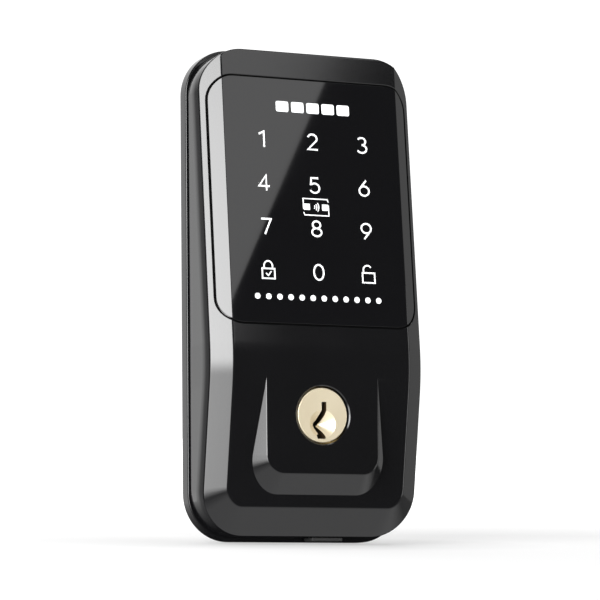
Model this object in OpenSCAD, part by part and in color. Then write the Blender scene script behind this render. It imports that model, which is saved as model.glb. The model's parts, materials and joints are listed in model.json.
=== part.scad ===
// Keypad smart lock: the outdoor unit of an electronic deadbolt.
// X runs to the right, the front faces -Y and Z is up. The origin is on the key axis, on the door plane.
// A depth is a distance in front of the door plane, so depth d lies at y = -d.

/* [Back plate] */
// Width of the back plate
body_w = 59.5; // [58:0.5:72]
// Height of the back plate
body_h = 124; // [120:1:150]
// Corner radius of the back plate
corner_r = 12; // [11:0.5:14]
// Height of the key axis above the bottom edge
key_axis_up = 30.9; // [30:0.5:34]
// Thickness of the door gasket
gasket_t = 0.6; // [0.4:0.1:1]
// Thickness of the back plate
plate_t = 2.4; // [2.2:0.1:3]
// Height of the lip that carries the seal
lip_h = 0.6; // [0.4:0.1:1]
// Thickness of the seal between the lip and the housing
seal_t = 0.5; // [0.3:0.1:1]

/* [Housing] */
// How far the housing's sides stand in from the back plate
cover_side_inset = 0.5; // [0.3:0.1:1]
// How far the housing's ends stand in from the back plate
cover_end_inset = 1.1; // [0.9:0.1:1.6]
// Wall thickness of the housing
wall = 2.4; // [2.2:0.1:3]
// Height of the deepest line above the bottom edge
peak_up = 42.9; // [40:0.5:46]
// Depth of the front face at its deepest line
peak_depth = 20.5; // [19.5:0.5:26]
// Lean of the upper face
upper_tilt = 5; // [4:0.1:6]
// Lean of the lower face
lower_tilt = 8.8; // [7:0.1:10]
// Width of the side bevels
bevel_w = 5; // [4:0.1:6]
// Depth of the side bevels
bevel_d = 3.3; // [2.5:0.1:4]
// Height of the bottom chamfer
chin_h = 7; // [5:0.5:9]
// Depth of the bottom chamfer
chin_d = 5.2; // [4:0.1:6]

/* [Key boss] */
// How far the boss face stands behind the deepest line
boss_setback = 0.3; // [0.2:0.05:0.6]
// Half width of the boss face
boss_half = 15.3; // [14:0.1:17]
// Distance from the key axis down to the lower edge of the boss face
boss_drop = 14.6; // [13:0.1:16]
// Corner radius of the boss face
boss_r = 4.5; // [3:0.5:6]
// Thickness of the lip round the key plug
boss_lip = 2.2; // [1.8:0.1:2.6]

/* [Touch panel] */
// Gap between the top edge of the unit and the panel
panel_top_gap = 8.2; // [7:0.1:12]
// Height of the panel's lower edge above the bottom edge
panel_foot_up = 53.6; // [52:0.1:58]
// Gap between the edge of the housing and the side of the panel
panel_side_gap = 1.8; // [1.6:0.1:3]
// Corner radius of the panel
panel_r = 6.2; // [5:0.1:8]
// Thickness of the panel
panel_t = 1.1; // [0.8:0.1:1.2]
// Thickness of the adhesive behind the panel
glue_t = 0.2; // [0.1:0.05:0.3]
// Gap round the panel
panel_gap = 0.3; // [0.2:0.05:0.5]
// Spacing of the key columns
key_pitch_x = 13.9; // [12:0.1:15]
// Spacing of the key rows
key_pitch_z = 11.1; // [10:0.1:12]
// Height of the lowest key row above the deepest line
key_first_z = 24; // [22:0.5:28]
// Thickness of the light guide
guide_t = 1.8; // [1.4:0.1:1.9]
// Thickness of the touch board
board_t = 1; // [0.8:0.1:1.6]

/* [Control board] */
// Half width of the control board
control_half = 20; // [19:0.5:22]
// Lower edge of the control board above the key axis
control_foot = 26; // [25.5:0.5:28]
// Height of the control board
control_h = 40; // [38:1:44]
// Height of the posts under the control board
control_post_h = 2; // [1.5:0.1:2.5]

/* [Key cylinder] */
// Radius of the key plug
plug_r = 6.35; // [6.1:0.05:7.7]
// Length of the key plug
plug_len = 29.3; // [27.5:0.1:36]
// How far the plug's front flange stands out round the plug
flange_out = 0.45; // [0.3:0.05:0.8]
// How far the plug's face stands behind the boss face
plug_setback = 0.5; // [0.3:0.1:1]
// Radial gap between the flange and the boss
flange_gap = 0.45; // [0.3:0.05:0.6]
// Radial clearance between the plug and the cylinder body
plug_gap = 0.05; // [0.02:0.01:0.08]
// Wall of the cylinder body round the plug
shell_wall = 2.2; // [2:0.1:2.8]
// Radius of the lock pins
pin_r = 1.44; // [1.3:0.02:1.5]
// Radial clearance round the lock pins
pin_gap = 0.06; // [0.03:0.01:0.08]
// Spacing of the lock pins
pin_pitch = 3.96; // [3.6:0.02:4.1]
// Distance from the plug's face to the first pin
first_pin = 6.3; // [6:0.1:7]
// Length of the driver pins
driver_len = 4.5; // [4:0.1:5]
// Length of the pin springs as fitted
spring_len = 4.5; // [4:0.1:5]
// Thickness of the chamber cover
chamber_cover_t = 0.8; // [0.6:0.1:1]
// Width of the torque blade
blade_w = 6.5; // [6:0.1:8]
// Thickness of the torque blade
blade_t = 1.6; // [1.4:0.1:2]
// Length of the torque blade behind the plug
blade_len = 45; // [35:1:60]

/* [Fixing] */
// Spacing of the two fixing bolt posts
bolt_spacing = 38; // [37:0.5:40]
// Radius of the tapped hole in a bolt post, M5
bolt_hole_r = 2.1; // [1.6:0.05:2.2]
// Radius of a bolt post
post_r = 4; // [3.6:0.1:4.4]
// Length of a bolt post
post_len = 9; // [8:0.5:10]

/* [Power port] */
// Distance from the key axis to the middle of the port
port_x = 6; // [4:0.5:7]
// Width of the port's shell
port_w = 8.9; // [8.5:0.1:9.2]
// Thickness of the port's shell
port_t = 3.2; // [3:0.1:3.3]
// Thickness of the port flap
flap_t = 0.9; // [0.7:0.05:0.95]

/* [Cable outlet] */
// Radius of the cable hole through the grommet
cable_r = 4; // [3:0.5:4]
// Distance from the key axis to the cable hole, sideways
cable_x = 13; // [12:0.5:14]
// Distance from the key axis to the cable hole, upwards
cable_z = 19; // [18:0.5:20]

/* [Hidden] */
$fn = 64;
near = 0.1;
z0 = -key_axis_up;
z1 = body_h - key_axis_up;
mid_z = (z0 + z1) / 2;
plate_front = gasket_t + plate_t;
cover_back = plate_front + lip_h + seal_t;
cover_half = body_w / 2 - cover_side_inset;
cover_h = body_h - 2 * cover_end_inset;
cover_r = corner_r - cover_side_inset;
cover_z0 = z0 + cover_end_inset;
flat_half = cover_half - bevel_w;
peak_z = peak_up - key_axis_up;
chin_z = cover_z0 + chin_h;
chin_depth = peak_depth - (peak_z - chin_z) * tan(lower_tilt);
chin_tilt = atan(chin_d / chin_h);
boss_depth = peak_depth - boss_setback;
boss_side_slope = 0.9;
boss_foot_slope = 1.3;
boss_corner_slope = 1;
boss_rise = 10;
boss_root = boss_depth - 7.8;
span = 200;
bevel_len = sqrt(bevel_w * bevel_w + bevel_d * bevel_d);

// Touch panel, in the frame of the upper face
panel_half = cover_half - panel_side_gap;
panel_z0 = (panel_foot_up - peak_up) / cos(upper_tilt);
panel_z1 = (body_h - panel_top_gap - peak_up) / cos(upper_tilt);
panel_h = panel_z1 - panel_z0;
window_half = 17.5;
window_margin = 3.6;
guide_gap = 0.25;
guide_y = panel_t + glue_t;
touch_half = 20.3;
touch_y = guide_y + guide_t + 0.4;
touch_back = touch_y + board_t;
touch_z0 = panel_z0 + 0.8;
touch_z1 = panel_z1 - 0.8;
touch_screw_x = touch_half - 1.45;
touch_screw_r = 0.8;
led_size = [1.6, 0.7, 0.9];
led_well_r = 1.7;
key_cols = [-1, 0, 1];
key_rows = [0, 1, 2, 3];

// Key cylinder
plug_face = boss_depth - plug_setback;
flange_r = plug_r + flange_out;
boss_bore_r = flange_r + flange_gap;
shell_r = plug_r + shell_wall;
shell_gap = 0.25;
lobe_half = 4.5;
shear = plug_r + 0.12;
driver_top = shear + driver_len;
spring_top = driver_top + spring_len;
lobe_top = spring_top + chamber_cover_t;
key_pin_top = sqrt(plug_r * plug_r - pin_r * pin_r) - 0.03;
key_pin_len = [4.4, 5.4, 3.9, 5.0, 4.6];
key_pin_drop = 1.6;
chamber_floor = key_pin_top - max(key_pin_len) - key_pin_drop - 0.1;
chamber_r = pin_r + pin_gap;
shell_front = boss_depth - boss_lip - 0.6;
lobe_front = plug_face - first_pin + 2.2;
plug_back = plug_face - plug_len;
shell_back = plug_back + 2;
clip_front = shell_back - 0.2;
clip_t = 0.8;
clip_groove_r = plug_r - 1.35;
keyway_back = pin_depth(5) - chamber_r - 0.2;
flange_seat = 0.1;
dimple_r = 3.2;
dimple_t = 1.1;
dimple_z = -2.4;
retainer_back = plate_front + 0.4;
retainer_t = 1.6;
collar_back = retainer_back + retainer_t;
collar_t = 1.4;
collar_r = shell_r + 1.4;
sleeve_r = shell_r + shell_gap + 1.6;
retainer_screw = [12.8, -8.5];

// Springs
wire_r = 0.17;
coil_r = pin_r - 0.28;
coil_turns = 5;
coil_steps = 12;
coil_sides = 5;

// Fasteners
plate_screw_r = 1.25;
plate_screw_head_r = 2.6;
plate_screw_head_t = 1.1;
plate_screw_len = 8.2;
plate_boss_r = 2.6;
plate_screw_x = cover_half - wall - 3.25;
plate_screw_z = [z0 + 10.9, 40, z1 - 15.1];
bolt_stud_r = 2.5;
bolt_stud_len = 4.5;
control_back = plate_front + control_post_h;
control_t = 1.2;
control_front = control_back + control_t;
control_screw_x = control_half - 3;
control_screw_z = [control_foot + 4, control_foot + control_h - 4];

// Flat cable
flex_x = 5;
flex_w = 8;
flex_t = 0.3;
flex_back = control_front + 0.8;
flex_front = peak_depth - 6.3;
flex_bend_z = lobe_top + 0.9 + (flex_front - flex_back) / 2;
flex_socket_len = 4;
flex_in = 0.6;

// Power port
port_back = cover_back + 1.1;
port_z0 = cover_z0 + 1;
port_len = 7.3;
port_hole_gap = 0.3;
flap_gap = 0.1;
flap_axis_depth = cover_back + 0.9;
flap_axis_z = cover_z0 - flap_gap - flap_t / 2;
flap_w = port_w - 0.4;
flap_reach = 4.4;
tongue_h = 0.85;
port_board_back = port_back + port_t;
port_board_z0 = port_z0 + wall + 1.5;
port_board_z1 = port_z0 + 11.5;
port_screw_x = 5.8;
port_screw_z = port_z0 + 9;

// ---- Helpers ----

// Depth of pin number i
function pin_depth(i) = plug_face - first_pin - (i - 1) * pin_pitch;

// Where the bevel, moved inwards by t, meets the face and the side, moved inwards by t
function bevel_face_x(t) = cover_half - (t * bevel_len - bevel_w * (t - bevel_d)) / bevel_d;
function bevel_side_y(t) = bevel_d + t * (bevel_len - bevel_d) / bevel_w;

// Extrudes an outline drawn in X and Z from depth d0 to depth d1
module slab(d0, d1) {
    translate([0, -d0, 0]) rotate([90, 0, 0]) linear_extrude(d1 - d0) children();
}

module rounded(w, h, r) {
    square([w - 2 * r, h], center = true);
    square([w, h - 2 * r], center = true);
    for (x = [-1, 1], y = [-1, 1])
        translate([x * (w / 2 - r), y * (h / 2 - r)]) circle(r);
}

module plate_outline(inset) {
    translate([0, mid_z]) rounded(body_w - 2 * inset, body_h - 2 * inset, corner_r - inset);
}

module cover_outline(inset) {
    translate([0, mid_z]) rounded(2 * (cover_half - inset), cover_h - 2 * inset, cover_r - inset);
}

module mirrored() {
    children();
    mirror([1, 0, 0]) children();
}

// Frames of the three front planes: y = 0 is the surface, +y goes inwards and z runs up it
module upper_face() {
    translate([0, -peak_depth, peak_z]) rotate([-upper_tilt, 0, 0]) children();
}

module lower_face() {
    translate([0, -peak_depth, peak_z]) rotate([lower_tilt, 0, 0]) children();
}

module chin_face() {
    translate([0, -chin_depth, chin_z]) rotate([chin_tilt, 0, 0]) children();
}

// Cross section of the bevelled front, moved inwards by t
module face_section(t) {
    polygon([
        [-cover_half + t, span], [-cover_half + t, bevel_side_y(t)], [-bevel_face_x(t), t],
        [bevel_face_x(t), t], [cover_half - t, bevel_side_y(t)], [cover_half - t, span]
    ]);
}

module face_prism(t) {
    translate([0, 0, -span / 2]) linear_extrude(span) face_section(t);
}

// The space behind the whole bevelled front, moved inwards by t
module wedge(t) {
    intersection() {
        upper_face() face_prism(t);
        lower_face() face_prism(t);
        chin_face() translate([-span / 2, t, -span / 2]) cube([span, span, span]);
    }
}

// An outline drawn on the upper face and run inwards from y0 to y1
module panel_slab(y0, y1) {
    upper_face() translate([0, y1, 0]) rotate([90, 0, 0]) linear_extrude(y1 - y0) children();
}

module panel_outline(grow) {
    translate([0, (panel_z0 + panel_z1) / 2])
        rounded(2 * (panel_half + grow), panel_h + 2 * grow, panel_r + grow);
}

module window_outline(inset) {
    translate([0, (panel_z0 + panel_z1) / 2])
        rounded(2 * (window_half - inset), panel_h - 2 * (window_margin + inset), 3);
}

// A layer under the bevelled upper face, from y0 to y1 below the surface
module face_layer(y0, y1) {
    intersection() {
        panel_slab(-1, wall + bevel_d) children();
        upper_face() difference() {
            face_prism(y0);
            face_prism(y1);
        }
    }
}

module at_keys() {
    for (row = key_rows, col = key_cols)
        translate([col * key_pitch_x, key_first_z + row * key_pitch_z]) children();
}

module at_touch_screws() {
    for (x = [-1, 1], z = [touch_z0 + 2.5, touch_z1 - 2.5])
        translate([x * touch_screw_x, z]) children();
}

module at_plate_screws() {
    for (x = [-1, 1], z = plate_screw_z)
        translate([x * plate_screw_x, z]) children();
}

module at_retainer_screws() {
    for (x = [-1, 1])
        translate([x * retainer_screw[0], retainer_screw[1]]) children();
}

module at_control_screws() {
    for (x = [-1, 1], z = control_screw_z)
        translate([x * control_screw_x, z]) children();
}

module at_bolts() {
    for (x = [-1, 1])
        translate([x * bolt_spacing / 2, 0]) children();
}

// Outline of the cylinder body: a round shell with the pin lobe above it
module cylinder_outline(grow) {
    circle(shell_r + grow);
    translate([-lobe_half - grow, 0]) square([2 * (lobe_half + grow), lobe_top + grow]);
}

// ---- Housing ----

// The boss face with its corners, widened by the depth below the face
module boss_outline(below) {
    half = boss_half + boss_side_slope * below;
    drop = boss_drop + boss_foot_slope * below;
    r = boss_r + boss_corner_slope * below;
    for (x = [-1, 1])
        translate([x * (half - r), r - drop]) circle(r, $fn = 32);
    translate([-half, boss_rise - 1]) square([2 * half, 1]);
}

module boss() {
    hull() {
        slab(boss_depth - near, boss_depth) boss_outline(0);
        slab(boss_root, boss_root + near) boss_outline(boss_depth - boss_root);
    }
}

module housing_posts() {
    intersection() {
        union() {
            slab(plate_front, peak_depth) at_plate_screws() circle(plate_boss_r);
            slab(post_len, peak_depth) at_bolts() circle(post_r + 0.5);
            slab(collar_back, peak_depth) at_retainer_screws() circle(2.6);
            slab(collar_back + collar_t, peak_depth) circle(sleeve_r);
        }
        slab(0, peak_depth) cover_outline(wall / 2);
        wedge(wall / 2);
    }
}

module front_housing() {
    color([0.09, 0.09, 0.1]) difference() {
        union() {
            difference() {
                union() {
                    intersection() {
                        slab(cover_back, peak_depth + 1) cover_outline(0);
                        wedge(0);
                    }
                    boss();
                }
                intersection() {
                    slab(cover_back - 1, peak_depth) cover_outline(wall);
                    wedge(wall);
                }
            }
            housing_posts();
            panel_slab(wall - 0.2, touch_y) at_touch_screws() circle(1.4, $fn = 24);
        }
        face_layer(-1, panel_t + glue_t) panel_outline(panel_gap);
        panel_slab(0, wall + 1) window_outline(0);
        slab(0, boss_depth - boss_lip) cylinder_outline(shell_gap);
        slab(boss_depth - boss_lip - 1, peak_depth) circle(boss_bore_r);
        slab(0, gasket_t + plate_screw_len + 1) at_plate_screws() circle(plate_screw_r);
        slab(0, collar_back + 6) at_retainer_screws() circle(plate_screw_r);
        slab(0, post_len + bolt_stud_len) at_bolts() circle(bolt_stud_r);
        panel_slab(panel_t + glue_t + 0.5, touch_back) at_touch_screws() circle(touch_screw_r, $fn = 24);
        port_hole();
    }
}

module port_hole() {
    translate([port_x - port_w / 2 - port_hole_gap, -port_back - port_t - port_hole_gap, z0])
        cube([port_w + 2 * port_hole_gap, port_t + 2 * port_hole_gap, 8]);
}

// ---- Touch panel and its board ----

module touch_panel() {
    color([0.03, 0.03, 0.035]) face_layer(0, panel_t) panel_outline(0);
}

module panel_adhesive() {
    color([0.5, 0.5, 0.48]) face_layer(panel_t, panel_t + glue_t) difference() {
        panel_outline(-0.4);
        window_outline(-0.3);
    }
}

module light_guide() {
    color([0.85, 0.88, 0.9]) difference() {
        panel_slab(guide_y, guide_y + guide_t) window_outline(guide_gap);
        panel_slab(guide_y + guide_t / 2, guide_y + guide_t + 1) at_keys() circle(led_well_r, $fn = 24);
    }
}

module touch_board() {
    color([0.05, 0.25, 0.15]) panel_slab(touch_y, touch_back) difference() {
        translate([0, (touch_z0 + touch_z1) / 2])
            rounded(2 * touch_half, touch_z1 - touch_z0, 1.4);
        at_touch_screws() circle(touch_screw_r, $fn = 24);
    }
}

module touch_leds() {
    color([0.95, 0.93, 0.8]) panel_slab(touch_y - led_size[1], touch_y)
        at_keys() square([led_size[0], led_size[2]], center = true);
}

module touch_chips() {
    color([0.12, 0.12, 0.13]) {
        panel_slab(touch_back, touch_back + 0.9)
            translate([-8, key_first_z + 12]) square(7, center = true);
        for (x = [3, 9], z = [9, 16])
            panel_slab(touch_back, touch_back + 0.7)
                translate([x, key_first_z + z]) square([3.2, 4.2], center = true);
        panel_slab(touch_back, touch_back + 0.7)
            translate([-8, key_first_z + 24]) square([5, 3.4], center = true);
    }
}

module card_antenna() {
    turns = 4;
    track = 0.5;
    color([0.75, 0.45, 0.2]) panel_slab(touch_back, touch_back + 0.1)
        for (i = [0 : turns - 1])
            translate([0, key_first_z + 18]) difference() {
                square([33 - 2.4 * i, 34 - 2.4 * i], center = true);
                square([33 - 2.4 * i - 2 * track, 34 - 2.4 * i - 2 * track], center = true);
            }
}

module touch_board_screws() {
    color([0.6, 0.6, 0.6]) {
        panel_slab(touch_back, touch_back + 0.9) at_touch_screws() circle(1.3, $fn = 24);
        panel_slab(guide_y + 0.6, touch_back) at_touch_screws() circle(touch_screw_r, $fn = 24);
    }
}

// Sockets for the flat cable, one on each board
module flex_sockets() {
    socket_w = flex_w + 2;
    color([0.85, 0.82, 0.74]) {
        translate([flex_x, 0]) slab(control_front, control_front + 1.6)
            translate([-socket_w / 2, control_foot + 1]) square([socket_w, flex_socket_len]);
        panel_slab(touch_back, touch_back + 1.6)
            translate([flex_x - socket_w / 2, touch_z0 + 0.6]) square([socket_w, flex_socket_len]);
    }
}

// Flat cable: two upright legs joined by a half circle
module flex_cable() {
    bend_r = (flex_front - flex_back) / 2;
    touch_socket_z = peak_z + (touch_z0 + 0.6) * cos(upper_tilt) - (touch_back + 0.8) * sin(upper_tilt);
    color([0.75, 0.6, 0.3]) translate([flex_x - flex_w / 2, 0, 0])
        rotate([90, 0, 90]) linear_extrude(flex_w) {
            translate([-flex_back - flex_t / 2, flex_bend_z])
                square([flex_t, control_foot + 1 + flex_in - flex_bend_z]);
            translate([-flex_front - flex_t / 2, flex_bend_z])
                square([flex_t, touch_socket_z + flex_in - flex_bend_z]);
            translate([-flex_back - bend_r, flex_bend_z]) intersection() {
                difference() {
                    circle(bend_r + flex_t / 2);
                    circle(bend_r - flex_t / 2);
                }
                translate([-span / 2, -span]) square(span);
            }
        }
}

// ---- Control board ----

module control_board() {
    color([0.05, 0.25, 0.15]) slab(control_back, control_front) difference() {
        translate([0, control_foot + control_h / 2]) rounded(2 * control_half, control_h, 1.5);
        at_control_screws() circle(1, $fn = 24);
    }
}

module control_chips() {
    color([0.12, 0.12, 0.13]) {
        slab(control_front, control_front + 1) translate([0, control_foot + 12]) square(8, center = true);
        slab(control_front, control_front + 1.2)
            translate([11, control_foot + 11]) square([5, 6], center = true);
        slab(control_front, control_front + 0.8) for (x = [-10, -6])
            translate([x, control_foot + 33]) square([2.6, 3], center = true);
        slab(control_front, control_front + 1.8)
            translate([8, control_foot + 33]) square([6, 6], center = true);
    }
}

module radio_module() {
    color([0.7, 0.71, 0.72]) slab(control_front, control_front + 2)
        translate([-2.5, control_foot + 23.5]) square([11, 13], center = true);
}

module supply_capacitors() {
    color([0.7, 0.7, 0.74]) slab(control_front, control_front + 4.2) for (z = [14, 22])
        translate([-14, control_foot + z]) circle(3);
}

module buzzer() {
    color([0.1, 0.1, 0.1]) difference() {
        slab(control_front, control_front + 3.2) translate([11, control_foot + 22]) circle(6);
        slab(control_front + 2.2, control_front + 4) translate([11, control_foot + 22]) circle(1);
    }
}

module harness_socket() {
    color([0.9, 0.88, 0.82]) difference() {
        slab(control_front, control_front + 4.4)
            translate([-8.5, control_foot + 4]) square([9, 5], center = true);
        translate([0, 0, control_foot + 1]) slab(control_front + 1.2, control_front + 3.4)
            translate([-8.5, 1]) square([7.4, 4], center = true);
    }
}

module control_board_screws() {
    color([0.6, 0.6, 0.6]) {
        slab(control_front, control_front + 1.1) at_control_screws() circle(1.8, $fn = 24);
        slab(plate_front + 0.2, control_front) at_control_screws() circle(1, $fn = 24);
    }
}

// ---- Back plate, seals and fixings ----

module back_plate() {
    color([0.1, 0.1, 0.11]) difference() {
        union() {
            slab(gasket_t, plate_front) plate_outline(0);
            slab(plate_front, plate_front + lip_h) difference() {
                plate_outline(0.6);
                plate_outline(3);
            }
            slab(plate_front, control_back) at_control_screws() circle(2.3, $fn = 32);
        }
        slab(plate_front + 0.2, control_back + 1) at_control_screws() circle(1, $fn = 24);
        slab(0, plate_front + 1) cylinder_outline(0.4);
        slab(0, plate_front + 1) at_bolts() circle(post_r + 0.1);
        slab(0, plate_front + 1) at_plate_screws() circle(plate_screw_r + 0.15);
        slab(0, gasket_t + plate_screw_head_t + 0.1) at_plate_screws() circle(plate_screw_head_r + 0.2);
        slab(0, plate_front + 1) translate([-cable_x, cable_z]) circle(cable_r + 1.2);
    }
}

module door_gasket() {
    color([0.06, 0.06, 0.06]) slab(0, gasket_t) difference() {
        plate_outline(1);
        plate_outline(3.4);
    }
}

module housing_seal() {
    color([0.05, 0.05, 0.05]) slab(plate_front + lip_h, cover_back) difference() {
        plate_outline(1.5);
        plate_outline(2.8);
    }
}

module back_plate_screws() {
    head_back = gasket_t + 0.1;
    color([0.45, 0.45, 0.46]) difference() {
        union() {
            slab(head_back, head_back + plate_screw_head_t) at_plate_screws() circle(plate_screw_head_r);
            slab(head_back, head_back + plate_screw_len) at_plate_screws() circle(plate_screw_r);
        }
        slab(0, head_back + 0.6) at_plate_screws() {
            square([2.6, 0.6], center = true);
            square([0.6, 2.6], center = true);
        }
    }
}

module bolt_post() {
    color([0.62, 0.62, 0.6]) difference() {
        union() {
            slab(0, post_len) circle(post_r);
            slab(post_len, post_len + bolt_stud_len) circle(bolt_stud_r);
        }
        slab(-1, post_len - 0.5) circle(bolt_hole_r);
    }
}

module bolt_post_left() {
    translate([-bolt_spacing / 2, 0, 0]) bolt_post();
}

module bolt_post_right() {
    translate([bolt_spacing / 2, 0, 0]) bolt_post();
}

// Rubber bush with a flange on each side of the back plate
module cable_grommet() {
    color([0.08, 0.08, 0.08]) translate([-cable_x, 0, cable_z]) difference() {
        union() {
            slab(gasket_t - 0.5, gasket_t) circle(cable_r + 1.8);
            slab(gasket_t, plate_front) circle(cable_r + 1.2);
            slab(plate_front, plate_front + 1) circle(cable_r + 1.8);
        }
        slab(0, plate_front + 2) circle(cable_r);
    }
}

// ---- Key cylinder ----

module cylinder_body() {
    color([0.72, 0.58, 0.32]) difference() {
        union() {
            slab(shell_back, shell_front) circle(shell_r);
            slab(shell_back, lobe_front) translate([-lobe_half, 0]) square([2 * lobe_half, lobe_top]);
            slab(collar_back, collar_back + collar_t) circle(collar_r);
        }
        slab(shell_back - 1, peak_depth) circle(plug_r + plug_gap);
        for (i = [1 : 5])
            translate([0, -pin_depth(i), 0]) cylinder(r = chamber_r, h = lobe_top + 1, $fn = 32);
        translate([-2.6, -lobe_front - 1, spring_top])
            cube([5.2, lobe_front - shell_back + 2, chamber_cover_t + 1]);
    }
}

module chamber_cover() {
    color([0.75, 0.75, 0.72]) translate([-2.5, -lobe_front, spring_top])
        cube([5, lobe_front - shell_back, chamber_cover_t]);
}

// Plate with two ears that clamps the cylinder body's collar
module cylinder_retainer() {
    color([0.5, 0.5, 0.5]) slab(retainer_back, collar_back) difference() {
        union() {
            circle(shell_r + 4.4);
            hull() at_retainer_screws() circle(3.2, $fn = 32);
        }
        cylinder_outline(0.3);
        at_retainer_screws() circle(plate_screw_r);
        at_bolts() circle(post_r + 0.4);
    }
}

module retainer_screws() {
    color([0.6, 0.6, 0.6]) {
        slab(plate_front + 0.05, retainer_back) at_retainer_screws() circle(2.3, $fn = 32);
        slab(retainer_back, collar_back + 5.5) at_retainer_screws() circle(plate_screw_r);
    }
}

// Sealing ring between the shoulder of the cylinder body and the boss
module nose_ring() {
    ring_r = (boss_depth - boss_lip - shell_front) / 2;
    color([0.05, 0.05, 0.05]) translate([0, -shell_front - ring_r, 0]) rotate([90, 0, 0])
        rotate_extrude() translate([(boss_bore_r + shell_r) / 2, 0]) circle(ring_r, $fn = 24);
}

// Key slot: a straight stem that swings left, kinks back to the right and ends in a wider foot
module keyway_outline() {
    polygon([
        [-0.25, 3.3], [-0.25, 1.1], [-0.6, 0], [-1.2, -1.2], [-2.2, -2], [-2.2, -2.8],
        [-1.65, -3.5], [-0.95, -4.6], [-1.65, -5.1], [-1.4, -5.9], [0.75, -5.9], [0.85, -5.2],
        [0.6, -4.4], [0, -3.5], [-1.1, -2.65], [-0.4, -2.3], [0.45, -1.3], [0.9, -0.1],
        [1.05, 1.1], [1.05, 3.3]
    ]);
}

module key_plug() {
    color([0.86, 0.78, 0.6]) difference() {
        union() {
            slab(plug_back, plug_face) circle(plug_r);
            slab(shell_front + flange_seat, plug_face) circle(flange_r);
        }
        slab(keyway_back, plug_face + 1) keyway_outline();
        translate([0, dimple_t - plug_face, dimple_z]) rotate([90, 0, 0])
            cylinder(r1 = 0, r2 = dimple_r, h = dimple_t + near / 10);
        for (i = [1 : 5])
            translate([0, -pin_depth(i), chamber_floor])
                cylinder(r = chamber_r, h = plug_r + 1 - chamber_floor, $fn = 32);
        slab(clip_front - clip_t, clip_front) difference() {
            circle(plug_r + 1);
            circle(clip_groove_r);
        }
        slab(plug_back - 1, plug_back + 5)
            square([blade_t + 0.1, blade_w + 0.1], center = true);
    }
}

module plug_clip() {
    color([0.5, 0.5, 0.52]) slab(clip_front - clip_t, clip_front) difference() {
        circle(plug_r + 1.1);
        circle(clip_groove_r);
        translate([0, -plug_r]) square([2 * clip_groove_r - 1, 2 * plug_r], center = true);
    }
}

module torque_blade() {
    color([0.65, 0.65, 0.66]) translate([-blade_t / 2, -plug_back - 5, -blade_w / 2])
        cube([blade_t, blade_len + 5, blade_w]);
}

// Key pin: flat at the shear line, with a cone that rides in the key's cut
module key_pin(i) {
    tip = key_pin_top - key_pin_len[i - 1];
    color([0.8, 0.66, 0.36]) translate([0, -pin_depth(i), 0]) rotate_extrude($fn = 32)
        polygon([[0, tip], [0.5, tip], [pin_r, tip + 1], [pin_r, key_pin_top], [0, key_pin_top]]);
}

module driver_pin(i) {
    color([0.72, 0.72, 0.7]) translate([0, -pin_depth(i), 0]) rotate_extrude($fn = 32)
        polygon([
            [0, shear], [pin_r, shear], [pin_r, driver_top - 0.3],
            [pin_r - 0.3, driver_top], [0, driver_top]
        ]);
}

function coil_point(i, k) =
    let (
        turn = 360 * i / coil_steps,
        lift = wire_r + (spring_len - 2 * wire_r) * i / (coil_turns * coil_steps),
        side = 360 * k / coil_sides,
        reach = coil_r + wire_r * cos(side)
    )
    [reach * cos(turn), reach * sin(turn), lift + wire_r * sin(side)];

module pin_spring(i) {
    last = coil_turns * coil_steps;
    points = [for (n = [0 : last], k = [0 : coil_sides - 1]) coil_point(n, k)];
    sides = [for (n = [0 : last - 1], k = [0 : coil_sides - 1])
        let (a = n * coil_sides + k, b = n * coil_sides + (k + 1) % coil_sides)
        [a, a + coil_sides, b + coil_sides, b]];
    start = [for (k = [0 : coil_sides - 1]) k];
    end = [for (k = [coil_sides - 1 : -1 : 0]) last * coil_sides + k];
    color([0.7, 0.7, 0.72]) translate([0, -pin_depth(i), driver_top])
        polyhedron(points, concat(sides, [start], [end]), convexity = 10);
}

// ---- Power port ----

module power_port() {
    color([0.7, 0.7, 0.72]) translate([port_x, 0, 0]) difference() {
        slab(port_back, port_back + port_t) translate([0, port_z0 + port_len / 2])
            square([port_w, port_len], center = true);
        difference() {
            slab(port_back + 0.35, port_back + port_t - 0.35) translate([0, port_z0 + 2.2])
                square([port_w - 0.7, 6.4], center = true);
            slab(port_back + port_t / 2 - 0.35, port_back + port_t / 2 + 0.35)
                translate([0, port_z0 + 3.4]) square([port_w - 2.4, 5], center = true);
        }
    }
}

module at_port_screws() {
    for (x = [-1, 1])
        translate([port_x + x * port_screw_x, port_screw_z]) children();
}

module port_board() {
    color([0.05, 0.25, 0.15]) slab(port_board_back, port_board_back + 1) difference() {
        translate([port_x - 7.5, port_board_z0]) square([15, port_board_z1 - port_board_z0]);
        at_port_screws() circle(0.8, $fn = 24);
    }
}

module port_board_screws() {
    color([0.6, 0.6, 0.6]) {
        slab(port_board_back - 0.8, port_board_back) at_port_screws() circle(1.3, $fn = 24);
        slab(port_board_back, port_board_back + 2.2) at_port_screws() circle(0.8, $fn = 24);
    }
}

// Rubber flap with a round back edge at its hinge line and a tongue that enters the port hole
module port_flap() {
    color([0.04, 0.04, 0.04]) translate([port_x - flap_w / 2, -flap_axis_depth, flap_axis_z])
        rotate([90, 0, 90]) {
            linear_extrude(flap_w) {
                circle(flap_t / 2);
                translate([-flap_reach, -flap_t / 2]) square([flap_reach, flap_t]);
            }
            translate([0, 0, 0.6]) linear_extrude(flap_w - 1.2)
                translate([-3.1, 0]) square([2.5, flap_t / 2 + flap_gap + tongue_h]);
        }
}

// ---- Nodes ----

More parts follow.
